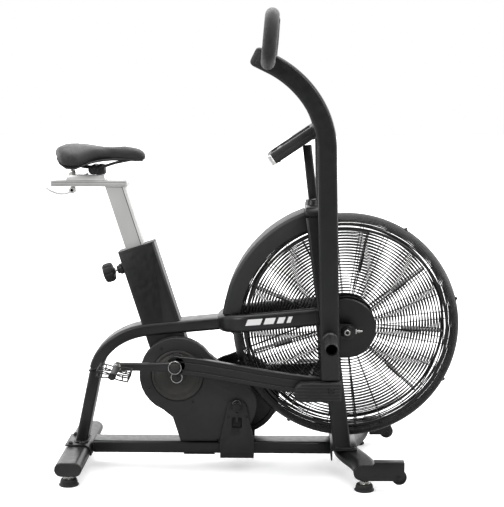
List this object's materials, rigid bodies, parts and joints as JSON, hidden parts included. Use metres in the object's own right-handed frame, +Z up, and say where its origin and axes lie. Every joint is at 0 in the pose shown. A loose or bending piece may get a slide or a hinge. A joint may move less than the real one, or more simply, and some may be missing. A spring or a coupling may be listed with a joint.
{
  "type": "air bike",
  "caption": "Stationary air bike with a wire-caged fan, swinging arm handles linked to the pedals, belt drive, adjustable saddle, foot pegs and transport wheels.",
  "frame": {"origin": "centre of the bounding box, on the floor under the feet", "axes": "+X forward towards the fan, +Y towards the rider's left, +Z up; the rider faces +X"},
  "size_m": [1.2447, 0.614, 1.378],
  "materials": {
    "frame_paint": "satin black textured powder coat",
    "cover_plastic": "moulded black plastic, fine grain",
    "rubber": "matte black rubber",
    "foam": "dark grey closed-cell foam",
    "wire_black": "black powder-coated wire",
    "aluminium": "satin anodised silver",
    "steel": "plain turned steel",
    "dark_steel": "black finished steel",
    "saddle_skin": "dark grey synthetic leather",
    "screen": "dark glossy display window",
    "bright_trim": "bright fasteners and rings",
    "white_mark": "white printed stripe"
  },
  "bodies": {
    "frame": {"base_rail": "frame_paint", "rear_stabilizer": "frame_paint", "rear_clamp": "frame_paint", "front_stabilizer": "frame_paint", "front_clamp": "frame_paint", "wheel_bracket_right": "frame_paint", "wheel_bracket_left": "frame_paint", "rear_leg": "frame_paint", "arch_tube": "frame_paint", "u_bar": "frame_paint", "seat_tube": "frame_paint", "mast_right": "frame_paint", "mast_left": "frame_paint", "mast_bridge": "frame_paint", "jackshaft_stand": "frame_paint", "foot_peg_right": "frame_paint", "foot_peg_left": "frame_paint", "console_stem": "frame_paint", "drive_cover": "cover_plastic", "shroud": "cover_plastic", "console": "cover_plastic", "seat_tube_insert": "cover_plastic", "foot_rear_right": "rubber", "foot_rear_left": "rubber", "foot_front_right": "rubber", "foot_front_left": "rubber", "drive_belt": "rubber", "fan_belt": "rubber", "cage_right": "wire_black", "cage_left": "wire_black", "fan_axle": "steel", "bottom_bracket": "dark_steel", "pull_pin_collar": "dark_steel"},
    "fan": {"fan_wheel": "dark_steel"},
    "crank": {"crank_axle": "steel", "crank_pulley": "dark_steel", "crank_web_right": "dark_steel", "crank_web_left": "dark_steel", "pedal_arm_right": "dark_steel", "pedal_arm_left": "dark_steel"},
    "jackshaft": {"jackshaft": "steel", "jackshaft_pulley": "dark_steel"},
    "pedal_right": {"pedal_right": "cover_plastic"},
    "pedal_left": {"pedal_left": "cover_plastic"},
    "link_right": {"link_right": "frame_paint"},
    "link_left": {"link_left": "frame_paint"},
    "arm_right": {"arm_right": "frame_paint", "joint_cover_right": "cover_plastic", "grip_right": "foam"},
    "arm_left": {"arm_left": "frame_paint", "joint_cover_left": "cover_plastic", "grip_left": "foam"},
    "seat_post": {"seat_post": "aluminium"},
    "seat_carriage": {"seat_carriage": "aluminium", "saddle_clamp": "dark_steel"},
    "seat_lever": {"seat_lever": "aluminium"},
    "saddle": {"saddle": "saddle_skin"},
    "pull_pin": {"pull_pin": "cover_plastic"},
    "wheel_right": {"transport_wheel_right": "rubber"},
    "wheel_left": {"transport_wheel_left": "rubber"}
  },
  "joints": [
    {"name": "crank_spin", "type": "hinge", "parent": "frame", "child": "crank", "pos_m": [-0.2247, 0, 0.296], "axis": [0, 1, 0], "continuous": true},
    {"name": "jackshaft_spin", "type": "hinge", "parent": "frame", "child": "jackshaft", "pos_m": [-0.0457, 0, 0.208], "axis": [0, 1, 0], "continuous": true},
    {"name": "fan_spin", "type": "hinge", "parent": "frame", "child": "fan", "pos_m": [0.2813, 0, 0.441], "axis": [0, 1, 0], "continuous": true},
    {"name": "pedal_right_spin", "type": "hinge", "parent": "crank", "child": "pedal_right", "pos_m": [-0.3947, -0.221, 0.34], "axis": [0, 1, 0], "continuous": true},
    {"name": "pedal_left_spin", "type": "hinge", "parent": "crank", "child": "pedal_left", "pos_m": [-0.0547, 0.221, 0.252], "axis": [0, 1, 0], "continuous": true},
    {"name": "link_right_swing", "type": "hinge", "parent": "crank", "child": "link_right", "pos_m": [-0.2247, -0.118, 0.34], "axis": [0, 1, 0], "continuous": true},
    {"name": "link_left_swing", "type": "hinge", "parent": "crank", "child": "link_left", "pos_m": [-0.2247, 0.118, 0.252], "axis": [0, 1, 0], "continuous": true},
    {"name": "arm_right_swing", "type": "hinge", "parent": "frame", "child": "arm_right", "pos_m": [0.2293, -0.146, 0.428], "axis": [0, 1, 0], "range_deg": [-17, 17]},
    {"name": "arm_left_swing", "type": "hinge", "parent": "frame", "child": "arm_left", "pos_m": [0.2293, 0.146, 0.428], "axis": [0, 1, 0], "range_deg": [-17, 17]},
    {"name": "seat_height", "type": "slide", "parent": "frame", "child": "seat_post", "axis": [-0.3024, 0, 0.9532], "range_m": [-0.155, 0.05]},
    {"name": "seat_fore_aft", "type": "slide", "parent": "seat_post", "child": "seat_carriage", "axis": [1, 0, 0], "range_m": [-0.035, 0.065]},
    {"name": "seat_lever_cam", "type": "hinge", "parent": "seat_carriage", "child": "seat_lever", "pos_m": [-0.5407, 0, 0.849], "axis": [0, 1, 0], "range_deg": [-110, 0]},
    {"name": "saddle_tilt", "type": "hinge", "parent": "seat_carriage", "child": "saddle", "pos_m": [-0.4737, 0, 0.912], "axis": [0, 1, 0], "range_deg": [-8, 8]},
    {"name": "pull_pin_slide", "type": "slide", "parent": "frame", "child": "pull_pin", "axis": [-0.9532, 0, -0.3024], "range_m": [0, 0.012], "stiffness_N_per_m": 900, "springref_m": -0.01},
    {"name": "wheel_right_spin", "type": "hinge", "parent": "frame", "child": "wheel_right", "pos_m": [0.4293, -0.243, 0.041], "axis": [0, 1, 0], "continuous": true},
    {"name": "wheel_left_spin", "type": "hinge", "parent": "frame", "child": "wheel_left", "pos_m": [0.4293, 0.243, 0.041], "axis": [0, 1, 0], "continuous": true}
  ],
  "couplings": [
    {"joint": "jackshaft_spin", "follows": "crank_spin", "ratio": 3.4286},
    {"joint": "fan_spin", "follows": "crank_spin", "ratio": 14.171},
    {"joint": "link_right_swing", "follows": "crank_spin", "ratio": -1},
    {"joint": "link_left_swing", "follows": "crank_spin", "ratio": -1}
  ]
}
